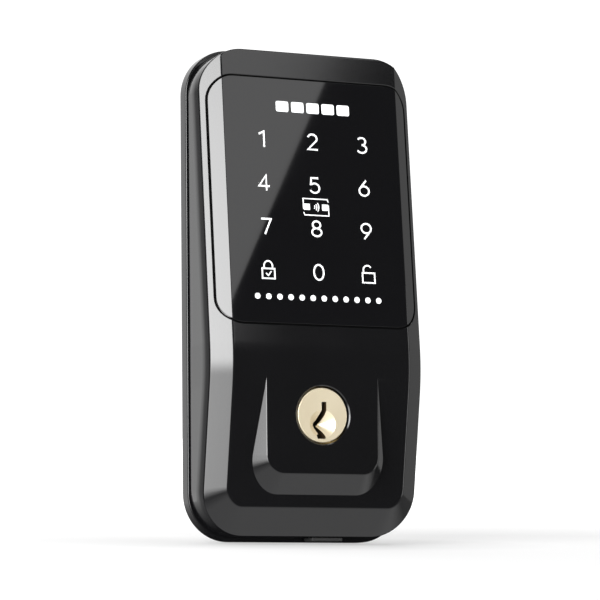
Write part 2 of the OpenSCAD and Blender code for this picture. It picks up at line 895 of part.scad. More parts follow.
front_housing();
touch_panel();
panel_adhesive();
light_guide();
touch_board();
touch_leds();
touch_chips();
card_antenna();
touch_board_screws();
flex_sockets();
flex_cable();
control_board();
control_chips();
radio_module();
supply_capacitors();
buzzer();
harness_socket();
control_board_screws();
back_plate();
door_gasket();
housing_seal();
back_plate_screws();
bolt_post_left();
bolt_post_right();
cable_grommet();
cylinder_body();
cylinder_retainer();
retainer_screws();
nose_ring();
chamber_cover();
key_plug();
plug_clip();
torque_blade();
key_pin(1);  // key_pin_1
key_pin(2);  // key_pin_2
key_pin(3);  // key_pin_3
key_pin(4);  // key_pin_4
key_pin(5);  // key_pin_5
driver_pin(1);  // driver_pin_1
driver_pin(2);  // driver_pin_2
driver_pin(3);  // driver_pin_3
driver_pin(4);  // driver_pin_4
driver_pin(5);  // driver_pin_5
pin_spring(1);  // pin_spring_1
pin_spring(2);  // pin_spring_2
pin_spring(3);  // pin_spring_3
pin_spring(4);  // pin_spring_4
pin_spring(5);  // pin_spring_5
power_port();
port_board();
port_board_screws();
port_flap();
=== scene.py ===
import bpy
import bmesh
import json
import math
from mathutils import Matrix, Vector


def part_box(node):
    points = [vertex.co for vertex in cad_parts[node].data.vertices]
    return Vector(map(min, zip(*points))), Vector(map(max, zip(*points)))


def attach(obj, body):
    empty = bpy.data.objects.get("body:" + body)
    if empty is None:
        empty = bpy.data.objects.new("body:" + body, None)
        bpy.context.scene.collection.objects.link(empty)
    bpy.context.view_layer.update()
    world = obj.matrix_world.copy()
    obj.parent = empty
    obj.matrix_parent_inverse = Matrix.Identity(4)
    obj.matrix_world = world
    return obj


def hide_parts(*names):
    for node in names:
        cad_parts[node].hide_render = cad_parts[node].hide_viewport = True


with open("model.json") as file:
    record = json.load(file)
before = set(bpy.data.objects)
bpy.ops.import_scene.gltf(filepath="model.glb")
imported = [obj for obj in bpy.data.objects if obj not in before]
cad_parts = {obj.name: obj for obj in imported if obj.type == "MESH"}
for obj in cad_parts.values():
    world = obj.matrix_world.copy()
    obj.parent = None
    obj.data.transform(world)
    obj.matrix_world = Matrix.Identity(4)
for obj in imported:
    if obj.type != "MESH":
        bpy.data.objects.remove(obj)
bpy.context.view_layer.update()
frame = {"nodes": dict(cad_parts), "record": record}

# ---- Camera and studio ----
# The lock stands on its lower edge on a pale table that falls away in front, seen from low on its
# left with a long lens. Large soft lights stand to its left, and weaker ones in front, right and above.

MM = 0.001
scene = bpy.context.scene
scene.view_settings.view_transform = "Standard"
scene.view_settings.look = "None"

camera_data = bpy.data.cameras.new("camera")
camera_data.lens = 194.2
camera_data.sensor_width = 36
camera_data.clip_start = 0.05
camera_data.clip_end = 20
camera = bpy.data.objects.new("camera", camera_data)
camera.location = (-0.3526, -0.7392, -0.0590)
camera_right = Vector((0.90131, -0.43305, -0.01006))
camera_ahead = Vector((0.43149, 0.89552, 0.10891)).normalized()
camera_up = camera_right.cross(camera_ahead).normalized()
camera_right = camera_ahead.cross(camera_up).normalized()
camera.rotation_euler = Matrix(
    (camera_right, camera_up, -camera_ahead)
).transposed().to_euler()
scene.collection.objects.link(camera)
scene.camera = camera

plate_low, plate_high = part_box("back_plate")
floor_tilt = math.radians(5)
floor_foot = Vector((0, 0, plate_low.z - 0.1 * MM))
floor_back = 0.76


def own_mesh(name, bm):
    """Turns a finished bmesh into an object at the origin."""
    mesh = bpy.data.meshes.new(name)
    bm.to_mesh(mesh)
    bm.free()
    piece = bpy.data.objects.new(name, mesh)
    scene.collection.objects.link(piece)
    return piece


def tip(bm, angle, to):
    """Turns a mesh about the X axis, then moves it."""
    bmesh.ops.rotate(bm, cent=(0, 0, 0), matrix=Matrix.Rotation(angle, 3, "X"), verts=bm.verts)
    bmesh.ops.translate(bm, vec=to, verts=bm.verts)


def new_material(name):
    """An empty node material, with its node tree and its Principled shader."""
    material = bpy.data.materials.new(name)
    material.use_nodes = True
    tree = material.node_tree
    return material, tree, tree.nodes["Principled BSDF"]


def ramp(tree, source, start, end, low, high, smooth=False):
    """A value that goes from low to high while its source goes from start to end."""
    node = tree.nodes.new("ShaderNodeMapRange")
    if smooth:
        node.interpolation_type = "SMOOTHSTEP"
    node.inputs["From Min"].default_value = start
    node.inputs["From Max"].default_value = end
    node.inputs["To Min"].default_value = low
    node.inputs["To Max"].default_value = high
    tree.links.new(source, node.inputs["Value"])
    return node.outputs["Result"]


def maths(tree, operation, *values):
    """A sum worked on sockets and plain numbers."""
    node = tree.nodes.new("ShaderNodeMath")
    node.operation = operation
    for value, entry in zip(values, node.inputs):
        if isinstance(value, bpy.types.NodeSocket):
            tree.links.new(value, entry)
        else:
            entry.default_value = value
    return node.outputs["Value"]


def length_of(tree, vector, shares):
    """How long a vector is once each of its axes is multiplied by its own share."""
    squeeze = tree.nodes.new("ShaderNodeVectorMath")
    squeeze.operation = "MULTIPLY"
    squeeze.inputs[1].default_value = shares
    tree.links.new(vector, squeeze.inputs[0])
    length = tree.nodes.new("ShaderNodeVectorMath")
    length.operation = "LENGTH"
    tree.links.new(squeeze.outputs["Vector"], length.inputs[0])
    return length.outputs["Value"]


def axes_of(tree, vector):
    """A vector's X, Y and Z sockets."""
    parts = tree.nodes.new("ShaderNodeSeparateXYZ")
    tree.links.new(vector, parts.inputs[0])
    return parts.outputs


# The table glows a little more with the distance, so that it meets the white backdrop unseen
bm = bmesh.new()
bmesh.ops.create_grid(bm, x_segments=2, y_segments=2, size=1)
bmesh.ops.translate(bm, vec=(0, floor_back, 0), verts=bm.verts)
tip(bm, floor_tilt, floor_foot)
floor = own_mesh("floor", bm)
paper, tree, shader = new_material("table_paper")
shader.inputs["Base Color"].default_value = (0.36, 0.36, 0.36, 1)
shader.inputs["Roughness"].default_value = 0.9
shader.inputs["Specular IOR Level"].default_value = 0
shader.inputs["Emission Color"].default_value = (1, 1, 1, 1)
place = tree.nodes.new("ShaderNodeTexCoord").outputs["Object"]
far_glow = ramp(tree, axes_of(tree, place)["Y"], 0.05, 0.45, 0.0, 0.9)
# Painted contact shadow: the table's glow is weaker within a few centimetres of the lock
painted_shadow_glow = ramp(tree, length_of(tree, place, (0.45, 1, 0)), 0.010, 0.035, 0.48, 0.62)
tree.links.new(maths(tree, "ADD", painted_shadow_glow, far_glow), shader.inputs["Emission Strength"])
floor.data.materials.append(paper)
floor.visible_glossy = False
floor.visible_shadow = False

# A black card under the lock, seen only in reflections, is painted shadow: it stands in for the lock's own
# shadow on the table under and behind it, and keeps the light off its underside
card_half, card_deep = 60 * MM, 26 * MM
bm = bmesh.new()
bmesh.ops.create_grid(bm, x_segments=1, y_segments=1, size=1)
bmesh.ops.scale(bm, vec=(card_half, card_deep, 1), verts=bm.verts)
bmesh.ops.translate(bm, vec=(0, 16 * MM, 0.02 * MM), verts=bm.verts)
tip(bm, floor_tilt, floor_foot)
painted_shadow_card = own_mesh("painted_shadow_card", bm)
painted_shadow_black, tree, shader = new_material("painted_shadow_black")
shader.inputs["Base Color"].default_value = (0.01, 0.01, 0.01, 1)
shader.inputs["Roughness"].default_value = 0.95
shader.inputs["Specular IOR Level"].default_value = 0
place = tree.nodes.new("ShaderNodeTexCoord").outputs["Object"]
thin = ramp(tree, length_of(tree, place, (1, 0, 0)), 0.022, 0.055, 1.0, 0.0, smooth=True)
tree.links.new(thin, shader.inputs["Alpha"])
painted_shadow_card.data.materials.append(painted_shadow_black)
painted_shadow_card.visible_camera = False
painted_shadow_card.visible_diffuse = False
painted_shadow_card.visible_shadow = False

# The room is white where the camera sees it, and bright behind, below and on the right in
# reflections
world = bpy.data.worlds.new("studio")
scene.world = world
world.use_nodes = True
tree = world.node_tree
backdrop = tree.nodes["Background"]
backdrop.inputs["Color"].default_value = (1, 1, 1, 1)
way = axes_of(tree, tree.nodes.new("ShaderNodeTexCoord").outputs["Generated"])
behind = ramp(tree, way["Y"], 0.70, 0.86, 0.06, 1.2)
below = ramp(tree, way["Z"], -0.35, -0.70, 0.0, 1.05)
beside = ramp(tree, way["X"], 0.45, 0.80, 0.0, 0.28)
ray = tree.nodes.new("ShaderNodeLightPath")
glow = maths(tree, "MULTIPLY", ray.outputs["Is Camera Ray"], 1.2)
for side in (behind, below, beside):
    glow = maths(tree, "MAXIMUM", glow, side)
tree.links.new(glow, backdrop.inputs["Strength"])


def soften_edges(light, fade):
    """Lets a light die away towards its edges, as cloth over a lamp box does."""
    light.use_nodes = True
    tree = light.node_tree
    across = axes_of(tree, tree.nodes.new("ShaderNodeNewGeometry").outputs["Parametric"])
    falls = []
    for axis in "XY":
        reach = maths(tree, "ABSOLUTE", maths(tree, "SUBTRACT", across[axis], 0.5))
        falls.append(ramp(tree, reach, 0.5 - fade, 0.5, 1.0, 0.0, smooth=True))
    tree.links.new(maths(tree, "MULTIPLY", *falls), tree.nodes["Emission"].inputs["Strength"])


light_target = Vector((0, -0.02, 0.04))


def soft_light(name, azimuth, height, away, size, radiance, roll=0, fade=0):
    """A rectangular soft light aimed at the lock; azimuth is to the right of straight in front."""
    light = bpy.data.lights.new(name, "AREA")
    light.shape = "RECTANGLE"
    light.size, light.size_y = size
    light.energy = 4 * radiance * size[0] * size[1]
    if fade:
        soften_edges(light, fade)
    lamp = bpy.data.objects.new(name, light)
    around, up = math.radians(azimuth), math.radians(height)
    direction = Vector((math.sin(around) * math.cos(up), -math.cos(around) * math.cos(up), math.sin(up)))
    lamp.location = light_target + direction * away
    turn = direction.to_track_quat("Z", "Y").to_matrix()
    lamp.rotation_euler = (turn @ Matrix.Rotation(math.radians(roll), 3, "Z")).to_euler()
    scene.collection.objects.link(lamp)


soft_light("left_light", -50, 17, 1.2, (0.84, 0.95), 7.4, fade=0.22)
soft_light("left_fill", -57, 1, 1.35, (1.30, 1.7), 6.3, fade=0.32)
soft_light("front_light", 19.6, 23.6, 1.5, (0.42, 0.64), 1.6, roll=-25.5)
soft_light("top_light", 180, 75, 1.3, (1.4, 1.0), 1.7)
soft_light("right_light", 92, 6, 1.3, (0.5, 1.0), 0.25)
soft_light("front_right", 58, -3, 1.4, (0.3, 0.8), 3.0)

# ---- Housing ----
# The outer shell is a zinc die casting in satin black paint: a rounded box whose front leans two
# ways, with bevelled sides, a chamfered foot and a raised boss round the key plug.

shell_low, shell_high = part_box("front_housing")
side_half = shell_high.x
shell_back = -4.1 * MM
peak = Vector((0, shell_low.y, 12.0 * MM))
upper_tilt = math.radians(-5)
lower_tilt = math.radians(8.8)
side_bevel = Vector((5.0 * MM, 3.3 * MM))
flat_half = side_half - side_bevel.x
corner_r = 11.5 * MM
chin_top = shell_low.z + 7.0 * MM
chin_drop = 4.1 * MM
foot_wide, foot_tall = 4.2 * MM, 5.0 * MM
top_edge = 0.15 * MM
front_r = 10.8 * MM
wall = 2.4 * MM
wall_swell = 0.4 * MM
wall_blend = 1.2 * MM
flat_reach = 2 * MM
turn_back = 2.8 * MM
soft_edge = 0.35 * MM
peak_blend = 6.0 * MM


def block(size, centre):
    """A plain block round its centre."""
    bm = bmesh.new()
    bmesh.ops.create_cube(bm, size=1)
    bmesh.ops.scale(bm, vec=size, verts=bm.verts)
    bmesh.ops.translate(bm, vec=centre, verts=bm.verts)
    return bm


def round_off(bm, geom, r, segments, affect="EDGES"):
    """Rounds off edges or corners."""
    bmesh.ops.bevel(bm, geom=geom, offset=r, offset_type="OFFSET", affect=affect,
                    segments=segments, profile=0.5, material=-1)


def rounded_block(half, low_z, high_z, y0, y1, r, segments):
    """A block with its four Y-wise edges rounded."""
    bm = block((2 * half, y1 - y0, high_z - low_z), (0, (y0 + y1) / 2, (low_z + high_z) / 2))
    upright = [e for e in bm.edges if abs(e.verts[0].co.y - e.verts[1].co.y) > 0.5 * (y1 - y0)]
    round_off(bm, upright, r, segments)
    return bm


def soften(a, b, c, cut, steps):
    """Points that round off the fold at b, on the way from a to c."""
    a, b, c = Vector(a), Vector(b), Vector(c)
    start = b + (a - b) * min(0.45, cut / (a - b).length)
    end = b + (c - b) * min(0.45, cut / (c - b).length)
    shares = [i / steps for i in range(steps + 1)]
    return [(1 - t) ** 2 * start + 2 * t * (1 - t) * b + t * t * end for t in shares]


def loft(right_lines):
    """A closed body from profiles up its right side, from foot to top, mirrored to the left side.
    Their first points bound the back face, and their last points are joined across in rows."""
    left_lines = [[Vector((-p.x, p.y, p.z)) for p in line] for line in reversed(right_lines)]
    bm = bmesh.new()
    lines = [[bm.verts.new(p) for p in line] for line in right_lines + left_lines]
    for here, after in zip(lines, lines[1:] + lines[:1]):
        for k in range(len(here) - 1):
            bm.faces.new((here[k], after[k], after[k + 1], here[k + 1]))
    bm.faces.new([line[0] for line in lines])
    for k in range(len(right_lines) - 1):
        bm.faces.new((lines[k][-1], lines[k + 1][-1], lines[-2 - k][-1], lines[-1 - k][-1]))
    bmesh.ops.remove_doubles(bm, verts=bm.verts, dist=0.001 * MM)
    bmesh.ops.recalc_face_normals(bm, faces=bm.faces)
    return bm


def front_y(z):
    """Y of the front at a height: two slopes, with a soft ridge where they meet."""
    above, below = math.tan(-upper_tilt), math.tan(lower_tilt)
    rise = z - peak.z
    if abs(rise) >= peak_blend:
        return peak.y + (rise * above if rise > 0 else -rise * below)
    t = (rise + peak_blend) / (2 * peak_blend)
    return peak.y + peak_blend * ((1 - t) ** 2 * below + t * t * above)


def shell_body(inset, back, steps, rows):
    """The housing's envelope, moved inwards by inset: upright walls that swell a little before the
    front, bevels down both sides that sweep round into the chin, and a flat, twice sloped front."""
    half, r = side_half - inset, corner_r - inset
    low, high = shell_low.z + inset, shell_high.z - inset
    flat, chin_z = flat_half - 0.3 * inset, chin_top + 0.25 * inset
    slope = side_bevel.y / side_bevel.x

    def profile(face, way, outer, edge, fold):
        """One line from the back to the front, on the side that way points to: outer is its place on
        the wall, edge where the wall ends in front, and fold where the flat front begins."""
        y1 = front_y(edge[1]) + inset + face
        inner = (fold[0] - flat_reach * way[0], fold[1] - flat_reach * way[1])
        swollen = outer[0] + wall_swell * way[0]
        points = [Vector((outer[0], back, outer[1])), Vector((swollen, y1 + turn_back, outer[1])),
                  Vector((edge[0], y1, edge[1])), Vector((fold[0], front_y(fold[1]) + inset, fold[1])),
                  Vector((inner[0], front_y(inner[1]) + inset, inner[1]))]
        line = [points[0]]
        for k, (cut, count) in enumerate(((wall_blend, 6), (soft_edge, 4), (soft_edge, 4))):
            line += soften(points[k], points[k + 1], points[k + 2], cut, count)
        return line

    lines = []
    for i in range(steps + 1):
        t = math.radians(-90 + 90 * i / steps)
        way = (math.cos(t), math.sin(t))
        outer = (half - r + r * way[0], low + r + r * way[1])
        fold = (flat - foot_wide + foot_wide * way[0], chin_z + foot_tall + foot_tall * way[1])
        face = chin_drop * way[1] ** 2 + side_bevel.y * way[0] ** 2
        lines.append(profile(face, way, outer, outer, fold))
    for i in range(rows + 1):
        z = peak.z + peak_blend * (2 * i / rows - 1)
        lines.append(profile(side_bevel.y, (1, 0), (half, z), (half, z), (flat, z)))
    for i in range(steps + 1):
        t = math.radians(90 * i / steps)
        way = (math.cos(t), math.sin(t))
        outer = (half - r + r * way[0], high - r + r * way[1])
        edge = (half - front_r + inset + (front_r - inset) * way[0],
                high - front_r + inset + (front_r - inset) * way[1])
        fold = (min(flat, edge[0] - top_edge * way[0]), edge[1] - top_edge * way[1])
        lines.append(profile(max(0.1 * MM, (edge[0] - flat) * slope), way, outer, edge, fold))
    return loft(lines)


def combine(piece, tool, how):
    """Joins or cuts one mesh with another and keeps the result in the first."""
    change = piece.modifiers.new(how, "BOOLEAN")
    change.operation = how
    change.solver = "EXACT"
    change.object = tool
    bpy.context.view_layer.update()
    graph = bpy.context.evaluated_depsgraph_get()
    mesh = bpy.data.meshes.new_from_object(piece.evaluated_get(graph))
    piece.modifiers.clear()
    piece.data = mesh
    bpy.data.objects.remove(tool)


def shade_crisp(piece, angle=35):
    """Merges what the cuts left doubled, then shades flat faces flat and true edges sharp."""
    bm = bmesh.new()
    bm.from_mesh(piece.data)
    bmesh.ops.remove_doubles(bm, verts=bm.verts, dist=0.002 * MM)
    bmesh.ops.dissolve_degenerate(bm, dist=0.002 * MM, edges=bm.edges)
    bm.to_mesh(piece.data)
    bm.free()
    for face in piece.data.polygons:
        face.use_smooth = True
    piece.data.set_sharp_from_angle(angle=math.radians(angle))
    weight = piece.modifiers.new("face_weighted", "WEIGHTED_NORMAL")
    weight.keep_sharp = True
    weight.weight = 80


housing = own_mesh("housing", shell_body(0, shell_back, 16, 10))

# The boss: its face is upright and its flanks widen as the front behind it falls away
boss_face = shell_low.y + 0.44 * MM
boss_rise = 7.8 * MM
boss_top = 12.5 * MM
boss_half, boss_drop, boss_r = 15.3 * MM, 14.6 * MM, 4.5 * MM
side_spread, foot_spread, corner_spread = 0.9, 1.12, 1.3
corner_steps = 20


def boss_point(below, grow, way, corner):
    """A point of the boss's outline at a depth below its face, grown outwards."""
    half = boss_half + side_spread * below + grow
    if not corner:
        return Vector((half, boss_face + below, boss_top))
    drop = boss_drop + foot_spread * below + grow
    wide = boss_r + side_spread * below + grow
    tall = boss_r + corner_spread * below + grow
    return Vector((half - wide + wide * way[0], boss_face + below, -drop + tall + tall * way[1]))


lines = []
for i in range(corner_steps + 2):
    t = math.radians(min(0, 90 * i / corner_steps - 90))
    way, corner = (math.cos(t), math.sin(t)), i <= corner_steps
    foot, rim, face = [boss_point(below, grow, way, corner)
                       for below, grow in ((boss_rise, 0), (0, 0), (0, -flat_reach))]
    lines.append([foot] + soften(foot, rim, face, soft_edge, 4))
combine(housing, own_mesh("boss", loft(lines)), "UNION")

# The shell is hollow, with posts for the fixings and a sleeve round the key cylinder
combine(housing, own_mesh("hollow", shell_body(wall, shell_back + 2 * MM, 8, 6)), "DIFFERENCE")


def rod(x, z, r, depth0, depth1, segments=32, front_r=None):
    """A round bar along Y, between two depths, that may widen or narrow towards its front."""
    bm = bmesh.new()
    bmesh.ops.create_cone(bm, cap_ends=True, segments=segments, radius1=r, radius2=front_r or r,
                          depth=depth1 - depth0)
    tip(bm, math.radians(90), (x, -(depth0 + depth1) / 2, z))
    return bm


# Each post has a place, a radius, the depth of its foot and the radius of its screw hole
screw_x, screw_heights = 23.6 * MM, (-20 * MM, 40 * MM, 78 * MM)
bolt_x = 19 * MM
retainer_x, retainer_z = 12.8 * MM, -8.5 * MM
shell_posts = []
for side in (-1, 1):
    shell_posts += [(side * screw_x, z, 2.6 * MM, 3.0 * MM, 1.25 * MM) for z in screw_heights]
for side in (-1, 1):
    shell_posts.append((side * bolt_x, 0, 4.5 * MM, 9.0 * MM, 2.5 * MM))
for side in (-1, 1):
    shell_posts.append((side * retainer_x, retainer_z, 2.6 * MM, 5.0 * MM, 1.25 * MM))
for x, z, r, foot, hole_r in shell_posts:
    under_bevel = 0 if abs(x) <= bolt_x else 2.0 * MM
    top = -front_y(z) - wall + 0.5 * MM - under_bevel
    hole_end = min(foot + 5.5 * MM, top - MM)
    combine(housing, own_mesh("post", rod(x, z, r, foot, top)), "UNION")
    combine(housing, own_mesh("hole", rod(x, z, hole_r, foot - MM, hole_end)), "DIFFERENCE")
boss_depth = -boss_face
plug_bore = 7.25 * MM
sleeve_r, cylinder_bore = 10.4 * MM, 8.8 * MM
combine(housing, own_mesh("sleeve", rod(0, 0, sleeve_r, 6.4 * MM, boss_depth - 3 * MM, 64)), "UNION")
combine(housing, own_mesh("sleeve_bore", rod(0, 0, cylinder_bore, 0, boss_depth - 2.2 * MM, 64)),
        "DIFFERENCE")
combine(housing, own_mesh("plug_bore", rod(0, 0, plug_bore, 10 * MM, boss_depth + MM, 96)), "DIFFERENCE")
combine(housing, own_mesh("bore_chamfer", rod(
    0, 0, plug_bore - 0.25 * MM, boss_depth - 0.5 * MM, boss_depth + 0.25 * MM, 96,
    front_r=plug_bore + 0.5 * MM)), "DIFFERENCE")
port_low, port_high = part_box("power_port")
port_size = port_high - port_low
port_gap = 0.3 * MM
bm = block((port_size.x + 2 * port_gap, port_size.y + 0.7 * MM, 9 * MM),
           ((port_low.x + port_high.x) / 2, (port_low.y + port_high.y) / 2, shell_low.z))
combine(housing, own_mesh("port_hole", bm), "DIFFERENCE")

# The pocket for the touch panel follows the front and both bevels
panel_low, panel_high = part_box("touch_panel")
panel_half = panel_high.x
panel_z0 = (panel_low.z - peak.z) / math.cos(upper_tilt)
panel_z1 = (panel_high.z - peak.z) / math.cos(upper_tilt)
panel_r = 6.2 * MM
panel_gap = 0.42 * MM


def wrapped_sheet(grow, inwards):
    """A thin face that lies on the upper front and folds back over both bevels."""
    bm = bmesh.new()
    half, z0, z1 = panel_half + grow, panel_z0 - grow, panel_z1 + grow
    corners = [bm.verts.new((x, 0, z)) for x, z in ((-half, z0), (half, z0), (half, z1), (-half, z1))]
    bm.faces.new(corners)
    round_off(bm, corners, panel_r + grow, 10, "VERTICES")
    for side in (-1, 1):
        bmesh.ops.bisect_plane(bm, geom=bm.verts[:] + bm.edges[:] + bm.faces[:], dist=1e-7,
                               plane_co=(side * flat_half, 0, 0), plane_no=(1, 0, 0))
    for v in bm.verts:
        v.co.y = inwards + max(0, abs(v.co.x) - flat_half) * side_bevel.y / side_bevel.x
    tip(bm, upper_tilt, peak)
    return bm


def sheet_cutter(steps):
    """A closed cutter through the front: each step is how far it is grown and how deep it lies."""
    bm = bmesh.new()
    rims = []
    for grow, inwards in steps:
        layer = wrapped_sheet(grow, inwards)
        mesh = bpy.data.meshes.new("layer")
        layer.to_mesh(mesh)
        layer.free()
        known = set(bm.faces)
        bm.from_mesh(mesh)
        bpy.data.meshes.remove(mesh)
        faces = [f for f in bm.faces if f not in known]
        rims.append((faces, [e for f in faces for e in f.edges if len(e.link_faces) == 1]))
    for (_, lower), (_, upper) in zip(rims, rims[1:]):
        bmesh.ops.bridge_loops(bm, edges=lower + upper)
    inner = [f for faces, _ in rims[1:-1] for f in faces]
    bmesh.ops.delete(bm, geom=inner, context="FACES_ONLY")
    bmesh.ops.recalc_face_normals(bm, faces=bm.faces)
    return bm


mouth = 0.14 * MM
pocket_depth = 1.35 * MM
combine(housing, own_mesh("pocket", sheet_cutter([
    (panel_gap, pocket_depth), (panel_gap, mouth), (panel_gap + 1.5 * mouth, -0.5 * mouth),
    (panel_gap + 1.5 * mouth, -6 * MM)])), "DIFFERENCE")
window_w, window_rim = 35 * MM, 3.6 * MM
bm = block((window_w, 8 * MM, panel_z1 - panel_z0 - 2 * window_rim),
           (0, 4 * MM, (panel_z0 + panel_z1) / 2))
tip(bm, upper_tilt, peak)
combine(housing, own_mesh("window", bm), "DIFFERENCE")

# A rebate along the back edge leaves a dark line between the shell and the back plate
plate_half = plate_high.x
plate_r = 12 * MM
rebate_in, rebate_depth = 1.4 * MM, 0.8 * MM
bm = rounded_block(plate_half + 3 * MM, plate_low.z - 3 * MM, plate_high.z + 3 * MM,
                   shell_back - rebate_depth, shell_back + MM, 14 * MM, 8)
ring = own_mesh("ring", bm)
bm = rounded_block(plate_half - rebate_in, plate_low.z + rebate_in, plate_high.z - rebate_in,
                   shell_back - 2 * MM, shell_back + 2 * MM, plate_r - rebate_in, 16)
combine(ring, own_mesh("ring_hole", bm), "DIFFERENCE")
combine(housing, ring, "DIFFERENCE")
shade_crisp(housing, 20)


def build_grain_group():
    """Fine surface grain: two sizes of noise that give a height and a broad mask."""
    group = bpy.data.node_groups.new("surface_grain", "ShaderNodeTree")
    face = group.interface
    face.new_socket("Fine Scale", in_out="INPUT", socket_type="NodeSocketFloat")
    face.new_socket("Broad Scale", in_out="INPUT", socket_type="NodeSocketFloat")
    face.new_socket("Height", in_out="OUTPUT", socket_type="NodeSocketFloat")
    face.new_socket("Broad", in_out="OUTPUT", socket_type="NodeSocketFloat")
    nodes, links = group.nodes, group.links
    entry, out = nodes.new("NodeGroupInput"), nodes.new("NodeGroupOutput")
    place = nodes.new("ShaderNodeTexCoord").outputs["Object"]
    fine = nodes.new("ShaderNodeTexNoise")
    fine.inputs["Detail"].default_value = 3
    broad = nodes.new("ShaderNodeTexNoise")
    broad.inputs["Detail"].default_value = 4
    for texture, socket in ((fine, "Fine Scale"), (broad, "Broad Scale")):
        links.new(place, texture.inputs["Vector"])
        links.new(entry.outputs[socket], texture.inputs["Scale"])
    links.new(fine.outputs["Fac"], out.inputs["Height"])
    links.new(broad.outputs["Fac"], out.inputs["Broad"])
    return group


grain_group = build_grain_group()


def finish(name, dark, light, rough, metallic=0.0, fine=2600, broad=60, bump=0.02, specular=0.5):
    """A material with grain in its height, and a slow drift in its colour and roughness."""
    material, tree, shader = new_material(name)
    grain = tree.nodes.new("ShaderNodeGroup")
    grain.node_tree = grain_group
    grain.inputs["Fine Scale"].default_value = fine
    grain.inputs["Broad Scale"].default_value = broad
    colour = tree.nodes.new("ShaderNodeMix")
    colour.data_type = "RGBA"
    colour.inputs["A"].default_value = (*dark, 1)
    colour.inputs["B"].default_value = (*light, 1)
    tree.links.new(grain.outputs["Broad"], colour.inputs["Factor"])
    tree.links.new(colour.outputs["Result"], shader.inputs["Base Color"])
    tree.links.new(ramp(tree, grain.outputs["Broad"], 0.3, 0.7, *rough), shader.inputs["Roughness"])
    relief = tree.nodes.new("ShaderNodeBump")
    relief.inputs["Strength"].default_value = bump
    relief.inputs["Distance"].default_value = 0.02 * MM
    tree.links.new(grain.outputs["Height"], relief.inputs["Height"])
    tree.links.new(relief.outputs["Normal"], shader.inputs["Normal"])
    shader.inputs["Metallic"].default_value = metallic
    shader.inputs["Specular IOR Level"].default_value = specular
    return material


def dress(finishes):
    """Gives each CAD piece of these material slots its slot's finish."""
    for subpart in frame["record"]["subparts"]:
        material = finishes.get(subpart["material_slot"])
        if material:
            node = frame["nodes"][subpart["node"]]
            node.data.materials.clear()
            node.data.materials.append(material)


def recoat(piece, *materials):
    """Takes off what the cuts left on a piece and puts its own materials on."""
    piece.data.materials.clear()
    for material in materials:
        piece.data.materials.append(material)


satin_paint = finish("satin_black_paint", (0.003, 0.003, 0.0033), (0.0045, 0.0045, 0.005), (0.08, 0.11),
                     fine=3200, broad=45, bump=0.12)
recoat(housing, satin_paint)
dress({"black_casting": satin_paint})
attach(housing, "chassis")
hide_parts("front_housing")

# ---- Touch panel ----
# A sheet of gloss black tempered glass, folded over both bevels with a polished rim, that sits
# flush in its pocket. A bead of matt black round it fills the gap as painted shade.

bm = wrapped_sheet(0, 0)
folds = [e for e in bm.edges if all(abs(abs(v.co.x) - flat_half) < 1e-6 for v in e.verts)]
round_off(bm, folds, 0.12 * MM, 3)
bmesh.ops.recalc_face_normals(bm, faces=bm.faces)
if sum(f.normal.y for f in bm.faces) > 0:
    bmesh.ops.reverse_faces(bm, faces=bm.faces)
bmesh.ops.solidify(bm, geom=bm.faces[:], thickness=1.1 * MM)
bmesh.ops.recalc_face_normals(bm, faces=bm.faces)
panel = own_mesh("touch_glass", bm)
rim = panel.modifiers.new("rim", "BEVEL")
rim.width = 0.12 * MM
rim.segments = 2
rim.limit_method = "ANGLE"
rim.angle_limit = math.radians(60)
shade_crisp(panel, 25)
glass = finish("black_glass", (0.0025, 0.0025, 0.003), (0.004, 0.004, 0.0045), (0.016, 0.026),
               fine=400, broad=30, bump=0.004)
panel.data.materials.append(glass)
dress({"panel_glass": glass})
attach(panel, "chassis")
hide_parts("touch_panel")

bead_reach = panel_gap - 0.02 * MM
bead_back, bead_front = 1.28 * MM, 0.34 * MM
bead = own_mesh("painted_shade_bead", sheet_cutter([(bead_reach, bead_back), (bead_reach, bead_front)]))
combine(bead, own_mesh("bead_hole", sheet_cutter([(0.02 * MM, 2 * MM), (0.02 * MM, -MM)])), "DIFFERENCE")
# Near-black matt colour: painted shade in the narrow gap round the glass
gap_shade_black = finish("painted_gap_shade", (0.001, 0.001, 0.001), (0.002, 0.002, 0.002), (0.85, 0.95), specular=0.05)
recoat(bead, gap_shade_black)
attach(bead, "chassis")

# ---- Printed symbols ----
# White ceramic ink fired on the glass: ten numerals, a closed and an open padlock, a card for the
# reader under the middle of the panel, a row of battery level bars and a row of entry dots.

ink_lift = 0.012 * MM
digit_height = 4.05 * MM
line_width = 0.46 * MM


def lay_on_glass(bm, x, z):
    """Moves a flat outline drawn in X and Z to a place on the upper front."""
    bmesh.ops.translate(bm, vec=(x, -ink_lift, (z - peak.z) / math.cos(upper_tilt)), verts=bm.verts)
    tip(bm, upper_tilt, peak)


def bar(bm, w, h, r, x=0):
    """A flat rounded bar."""
    corners = [bm.verts.new((x + sx * w / 2, 0, sz * h / 2))
               for sx, sz in ((-1, -1), (1, -1), (1, 1), (-1, 1))]
    bm.faces.new(corners)
    round_off(bm, corners, r, 4, "VERTICES")


